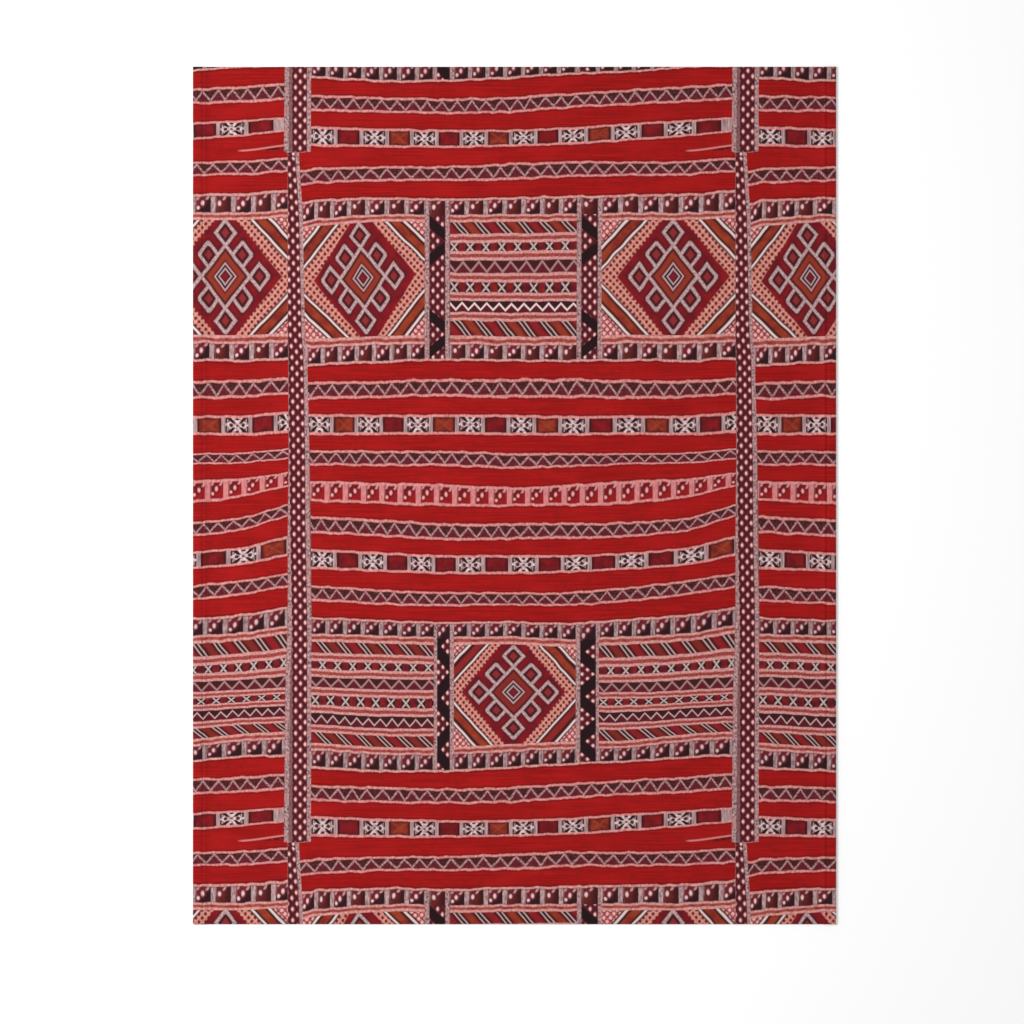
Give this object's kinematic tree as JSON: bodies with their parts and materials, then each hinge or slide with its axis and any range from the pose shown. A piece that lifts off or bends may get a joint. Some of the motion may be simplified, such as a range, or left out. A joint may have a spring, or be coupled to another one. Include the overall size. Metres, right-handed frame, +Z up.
{
  "type": "throw blanket",
  "caption": "Flat rectangular fleece throw printed all over with a traditional red flatweave rug pattern, its long sides turned under and sewn.",
  "frame": {"origin": "centre of the underside, on the surface that the throw lies on", "axes": "+X across the width, to the right in the picture; +Y along the length, to the top of the picture; +Z up, out of the printed face"},
  "size_m": [0.762, 1.016, 0.0038],
  "materials": {
    "printed_fleece": "soft short-napped fleece, matt with a faint sheen, printed in reds, maroon, black, pink and off-white"
  },
  "bodies": {
    "root": {"throw_blanket": "printed_fleece"}
  },
  "joints": []
}
